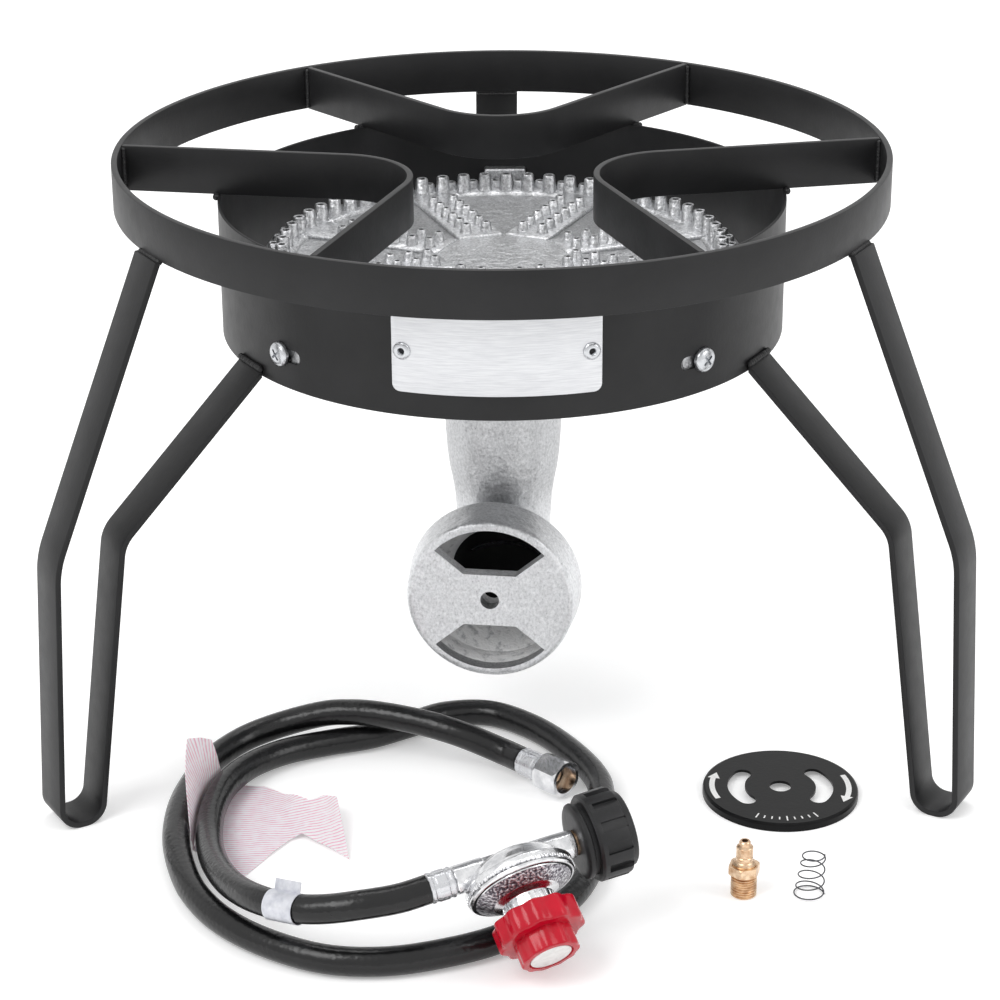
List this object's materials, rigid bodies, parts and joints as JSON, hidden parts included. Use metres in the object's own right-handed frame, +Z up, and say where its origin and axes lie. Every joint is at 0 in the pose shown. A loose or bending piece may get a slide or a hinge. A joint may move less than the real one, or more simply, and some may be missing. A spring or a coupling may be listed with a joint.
{
  "type": "propane burner stand",
  "caption": "Round steel stand with bent-bar legs and V pot supports, wind shield, cast gas burner with mixer tube, and a hose with adjustable regulator laid beside it.",
  "frame": {"origin": "on the floor, under the middle of the box round everything but the hose and what is on it", "axes": "+Z up, -Y towards the mixer's open face and the name plate, +X to the right as seen from that side"},
  "size_m": [0.4816, 0.5795, 0.318],
  "materials": {
    "black_paint": "satin black baked paint",
    "name_plate": "brushed, bare",
    "cast_metal": "rough as-cast, bright silver",
    "zinc": "zinc plated",
    "hose_rubber": "smooth extruded black",
    "diaphragm_rubber": "matt",
    "crimped_steel": "plated, crimped",
    "die_cast": "bright die-cast",
    "brass": "turned",
    "spring_steel": "dark wire",
    "red_plastic": "glossy red",
    "label_white": "blank white label",
    "black_nylon": "grained black",
    "paper": "thin coated paper, blank",
    "band_film": "blank silver film"
  },
  "bodies": {
    "stand": {"top_ring": "black_paint", "pot_support_back": "black_paint", "pot_support_left": "black_paint", "pot_support_right": "black_paint", "wind_shield": "black_paint", "leg_back": "black_paint", "leg_left": "black_paint", "leg_right": "black_paint", "name_plate": "name_plate", "plate_rivet_left": "zinc", "plate_rivet_right": "zinc", "burner_head": "cast_metal", "venturi_tube": "cast_metal", "tube_bolt_left": "zinc", "tube_bolt_right": "zinc", "lug_screw_back": "zinc", "lug_screw_left": "zinc", "lug_screw_right": "zinc", "gas_hose": "hose_rubber", "hose_ferrule_regulator": "crimped_steel", "hose_ferrule_flare": "crimped_steel", "flare_nipple": "brass", "regulator_body": "die_cast", "regulator_bonnet": "die_cast", "diaphragm": "diaphragm_rubber", "control_spring": "spring_steel", "inlet_nipple": "brass", "paper_tag": "paper", "label_band": "band_film", "orifice_fitting": "brass", "shutter_spring": "spring_steel"},
    "button": {"spring_button": "zinc"},
    "knob": {"adjusting_knob": "red_plastic", "knob_label": "label_white", "adjusting_screw": "zinc"},
    "hand_nut": {"tank_nut": "black_nylon"},
    "flare_nut": {"swivel_nut": "zinc"},
    "shutter": {"air_shutter": "black_paint"}
  },
  "joints": [
    {"name": "button_slide", "type": "slide", "parent": "stand", "child": "button", "axis": [-0.344, 0.7527, 0.5613], "range_m": [0, 0.005], "deforming": ["control_spring"]},
    {"name": "knob_turn", "type": "hinge", "parent": "button", "child": "knob", "pos_m": [0.012, -0.31242, 0.02567], "axis": [-0.344, 0.7527, 0.5613], "range_deg": [0, 1440]},
    {"name": "tank_nut_turn", "type": "hinge", "parent": "stand", "child": "hand_nut", "pos_m": [0.04229, -0.2695, 0.0526], "axis": [0.9353, 0.3275, 0.134], "continuous": true},
    {"name": "swivel_nut_turn", "type": "hinge", "parent": "stand", "child": "flare_nut", "pos_m": [0.02426, -0.13506, 0.0115], "axis": [0.7071, -0.7071, 0], "continuous": true},
    {"name": "shutter_turn", "type": "hinge", "parent": "stand", "child": "shutter", "pos_m": [0.1419, -0.1373, 0.0045], "axis": [0, 0, 1], "range_deg": [0, 90]}
  ],
  "couplings": [
    {"joint": "knob_turn", "follows": "button_slide", "rad_per_m": 5026.5}
  ]
}
